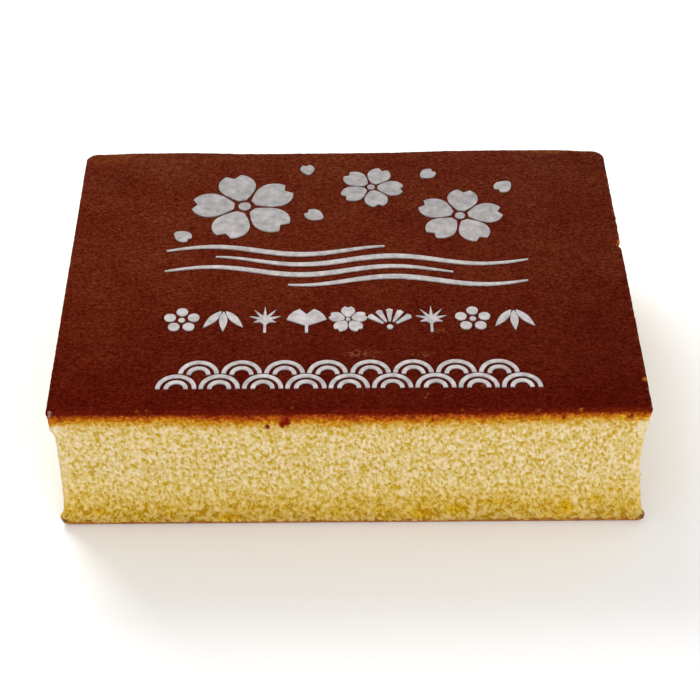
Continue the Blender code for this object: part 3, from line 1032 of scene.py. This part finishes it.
def petal(reach, steps=20):
    """A notched petal that points along +Y, widest past its middle, with two rounded tips."""
    root, breadth, notch = 0.20 * reach, 0.72 * reach, 0.10 * reach
    widest, fall = 0.58, 0.46
    side = []
    for i in range(steps + 1):
        t = i / steps
        if t < widest:
            half = breadth / 2 * math.sin(math.pi / 2 * (0.14 + 0.86 * t / widest))
        else:
            half = breadth / 2 * math.sqrt(1 - ((t - widest) / fall) ** 2)
        side.append((half, root + (reach - root) * t))
    return side + [(0.0, reach - notch)] + mirrored(side)


def leaf(root, tip, breadth, steps=14):
    """A pointed leaf along +Y, from its root to its tip."""
    side = []
    for i in range(1, steps):
        t = i / steps
        side.append((breadth / 2 * math.sin(math.pi * t ** 0.85), root + (tip - root) * t))
    return [(0.0, root)] + side + [(0.0, tip)] + mirrored(side)


def cherry(radius):
    """Five notched petals round a dot."""
    petals = [placed(petal(radius), 0, 0, 2 * math.pi * k / 5) for k in range(5)]
    return petals + [disc(0.12 * radius, 16)]


def plum(radius):
    """Five round petals round a dot."""
    turns = [math.pi / 2 + 2 * math.pi * k / 5 for k in range(5)]
    petals = [placed(disc(0.30 * radius, 24), *around(0.64 * radius, t)) for t in turns]
    return petals + [disc(0.17 * radius, 16)]


def bamboo(radius):
    """Three hanging leaves that fan from one root."""
    blade = leaf(0.2 * radius, 1.75 * radius, 0.42 * radius)
    return [placed(blade, 0, 0.85 * radius, math.pi + turn) for turn in (-0.62, 0.0, 0.62)]


def maple(radius):
    """One leaf of seven pointed lobes, with its stalk."""
    reaches = (0.60, 0.84, 0.96, 1.05, 0.96, 0.84, 0.60)
    valley = 0.30 * radius
    spread = math.radians(250)
    step = spread / len(reaches)
    start = math.pi / 2 - spread / 2
    points = []
    for k, reach in enumerate(reaches):
        points.append(around(valley, start + step * k))
        points.append(around(reach * radius, start + step * (k + 0.5)))
    points.append(around(valley, start + spread))
    half, top, foot = 0.07 * radius, -0.35 * radius, -radius
    return [points + [(-half, top), (-half, foot), (half, foot), (half, top)]]


def ginkgo(radius):
    """One fan-shaped leaf with a split edge, on a stalk."""
    half, root, foot = 0.08 * radius, -0.45 * radius, -radius
    spread, split, droop = math.radians(66), 0.55, 0.07
    blade = []
    for k in range(-4, 5):
        reach = 1.40 - droop * abs(k) - split * (k == 0)
        blade.append(around(reach * radius, math.pi / 2 + spread * k / 4))
    return [[(-half, foot), (half, foot), (half, root)] + placed(blade, 0, root) + [(-half, root)]]


def fan(radius):
    """The ribs of an open folding fan, over its pin."""
    root = -0.60 * radius
    half, apart = math.radians(7.5), math.radians(25)
    corners = ((0.45, -half), (1.35, -half), (1.42, 0.0), (1.35, half), (0.45, half))
    rib = [around(reach * radius, math.pi / 2 + turn) for reach, turn in corners]
    ribs = [placed(rib, 0, root, k * apart) for k in range(-2, 3)]
    return ribs + [placed(disc(0.16 * radius, 16), 0, root)]


def water_line(x_from, x_to, height, steps=60):
    """One stroke of running water, swelling in its middle and thin at both ends."""
    over, under = [], []
    for i in range(steps + 1):
        t = i / steps
        x = x_from + (x_to - x_from) * t
        y = height + WATER_SWELL * math.sin(2 * math.pi * x / WATER_LENGTH)
        half = WATER_STROKE / 2 * (0.22 + 0.78 * math.sin(math.pi * t) ** 0.7)
        over.append((x, y + half))
        under.append((x, y - half))
    return under + over[::-1]


def wave_ring(radius, start, steps=22):
    """One ring of a wave scale, as a thick arc over the top from start to its mirror."""
    turns = [start + (math.pi - 2 * start) * i / steps for i in range(steps + 1)]
    outer = [around(radius, t) for t in turns]
    inner = [around(radius - WAVE_STROKE, t) for t in reversed(turns)]
    return outer + inner


def covered_until(radius):
    """The angle at which a ring of the upper row comes clear of the scales in front of it."""
    cover = WAVE_RADIUS + WAVE_GAP
    across, down = PITCH / 2, WAVE_RADIUS
    c = radius ** 2 + across ** 2 + down ** 2 - cover ** 2
    a, b = 2 * radius * across, 2 * radius * down
    return max(0.0, math.acos(c / math.hypot(a, b)) - math.atan2(b, a))


def wave_band():
    """Two rows of wave scales, the upper row half a scale along and behind the lower one."""
    outlines = []
    for row, count in enumerate((WAVE_COUNT, WAVE_COUNT - 1)):
        y = WAVE_BASE + row * WAVE_RADIUS
        for radius in (WAVE_RADIUS, WAVE_INNER_RADIUS):
            ring = wave_ring(radius, row * covered_until(radius))
            outlines += [placed(ring, (k - (count - 1) / 2) * PITCH, y) for k in range(count)]
    return outlines


def ornament_row():
    """Nine small ornaments in a row."""
    kinds = (plum, bamboo, maple, ginkgo, cherry, fan, maple, plum, bamboo)
    outlines = []
    for k, kind in enumerate(kinds):
        x = (k - (len(kinds) - 1) / 2) * PITCH
        outlines += [placed(outline, x, ORNAMENT_HEIGHT) for outline in kind(ORNAMENT_RADIUS)]
    return outlines


def blossoms_on_water():
    """Three blossoms and some loose petals over the lines of running water."""
    outlines = []
    for x, y, radius, turn in BLOSSOMS:
        outlines += [placed(outline, x, y, turn) for outline in cherry(radius)]
    for x, y, reach, turn in LOOSE_PETALS:
        outlines.append(placed(petal(reach), x, y, turn))
    for x_from, x_to, height in WATER_LINES:
        outlines.append(water_line(x_from, x_to, height))
    return outlines


def sugar_design():
    """The sifted sugar: flat strokes rooted in the crust."""
    curve = bpy.data.curves.new("sugar_drawing", "CURVE")
    curve.dimensions = "2D"
    curve.fill_mode = "BOTH"
    curve.extrude = (SUGAR_TOP - SUGAR_ROOT) / 2
    for outline in blossoms_on_water() + ornament_row() + wave_band():
        spline = curve.splines.new("POLY")
        spline.points.add(len(outline) - 1)
        for point, (x, y) in zip(spline.points, outline):
            point.co = (x * MM, y * MM, 0, 1)
        spline.use_cyclic_u = True
    drawn = bpy.data.objects.new("sugar_drawing", curve)
    bpy.context.scene.collection.objects.link(drawn)
    bpy.context.view_layer.update()
    mesh = bpy.data.meshes.new_from_object(drawn.evaluated_get(bpy.context.evaluated_depsgraph_get()))
    bpy.data.objects.remove(drawn)
    bm = bmesh.new()
    bm.from_mesh(mesh)
    bmesh.ops.remove_doubles(bm, verts=bm.verts, dist=MM / 200)
    bmesh.ops.recalc_face_normals(bm, faces=bm.faces)
    bmesh.ops.translate(bm, vec=(0, 0, (SUGAR_TOP + SUGAR_ROOT) / 2), verts=bm.verts)
    piece = finished("sugar_design", bm, sugar_finish())
    piece.data.shade_flat()
    return piece


# The studio

FLOOR_REACH = 3.0
FLOOR_COLOUR = grey(0.94)
ROOM_STRENGTH = 0.68


def area_light(name, place, aim, size, power):
    """A soft square light that looks at a point."""
    data = bpy.data.lights.new(name, "AREA")
    data.shape = "SQUARE"
    data.size = size
    data.energy = power
    light = bpy.data.objects.new(name, data)
    light.location = place
    light.rotation_euler = (Vector(aim) - Vector(place)).to_track_quat("-Z", "Y").to_euler()
    bpy.context.scene.collection.objects.link(light)


def floor():
    """A plain pale floor."""
    bm = bmesh.new()
    bmesh.ops.create_grid(bm, x_segments=1, y_segments=1, size=FLOOR_REACH)
    mesh = bpy.data.meshes.new("floor")
    bm.to_mesh(mesh)
    bm.free()
    finish = new_finish("floor", Base_Color=FLOOR_COLOUR, Roughness=0.9, Specular_IOR_Level=0.1)[0]
    mesh.materials.append(finish)
    piece = bpy.data.objects.new("floor", mesh)
    bpy.context.scene.collection.objects.link(piece)


def studio():
    """Even light all round, a broad light over the back and a softer one in front."""
    world = bpy.data.worlds.new("studio")
    world.use_nodes = True
    background = world.node_tree.nodes["Background"]
    background.inputs["Color"].default_value = grey(1.0)
    background.inputs["Strength"].default_value = ROOM_STRENGTH
    bpy.context.scene.world = world
    area_light("over_the_back", (-0.40, 0.70, 0.70), (0, 0, 0.03), 0.6, 8.5)
    area_light("front_fill", (0.45, -0.95, 0.55), (0, 0, 0.02), 0.8, 6.0)
    bpy.context.scene.view_settings.view_transform = "Standard"


def camera():
    """The camera at the photograph's place."""
    data = bpy.data.cameras.new("camera")
    data.sensor_width = SENSOR_MM
    data.lens = CAMERA_LENS_PIXELS / PICTURE_PIXELS * SENSOR_MM
    made = bpy.data.objects.new("camera", data)
    turned = Matrix.Rotation(-CAMERA_TURN, 4, "Z") @ Matrix.Rotation(math.pi / 2 - CAMERA_PITCH, 4, "X")
    made.matrix_world = (
        Matrix.Translation(MIDDLE + Vector((0, 0, HEIGHT)) + CAMERA_PLACE)
        @ turned
        @ Matrix.Rotation(-CAMERA_ROLL, 4, "Z")
    )
    bpy.context.scene.collection.objects.link(made)
    bpy.context.scene.camera = made


noise.seed_set(NOISE_SEED)
base_crust()
sponge_body()
crust_skin()
sugar_design()
floor()
studio()
camera()
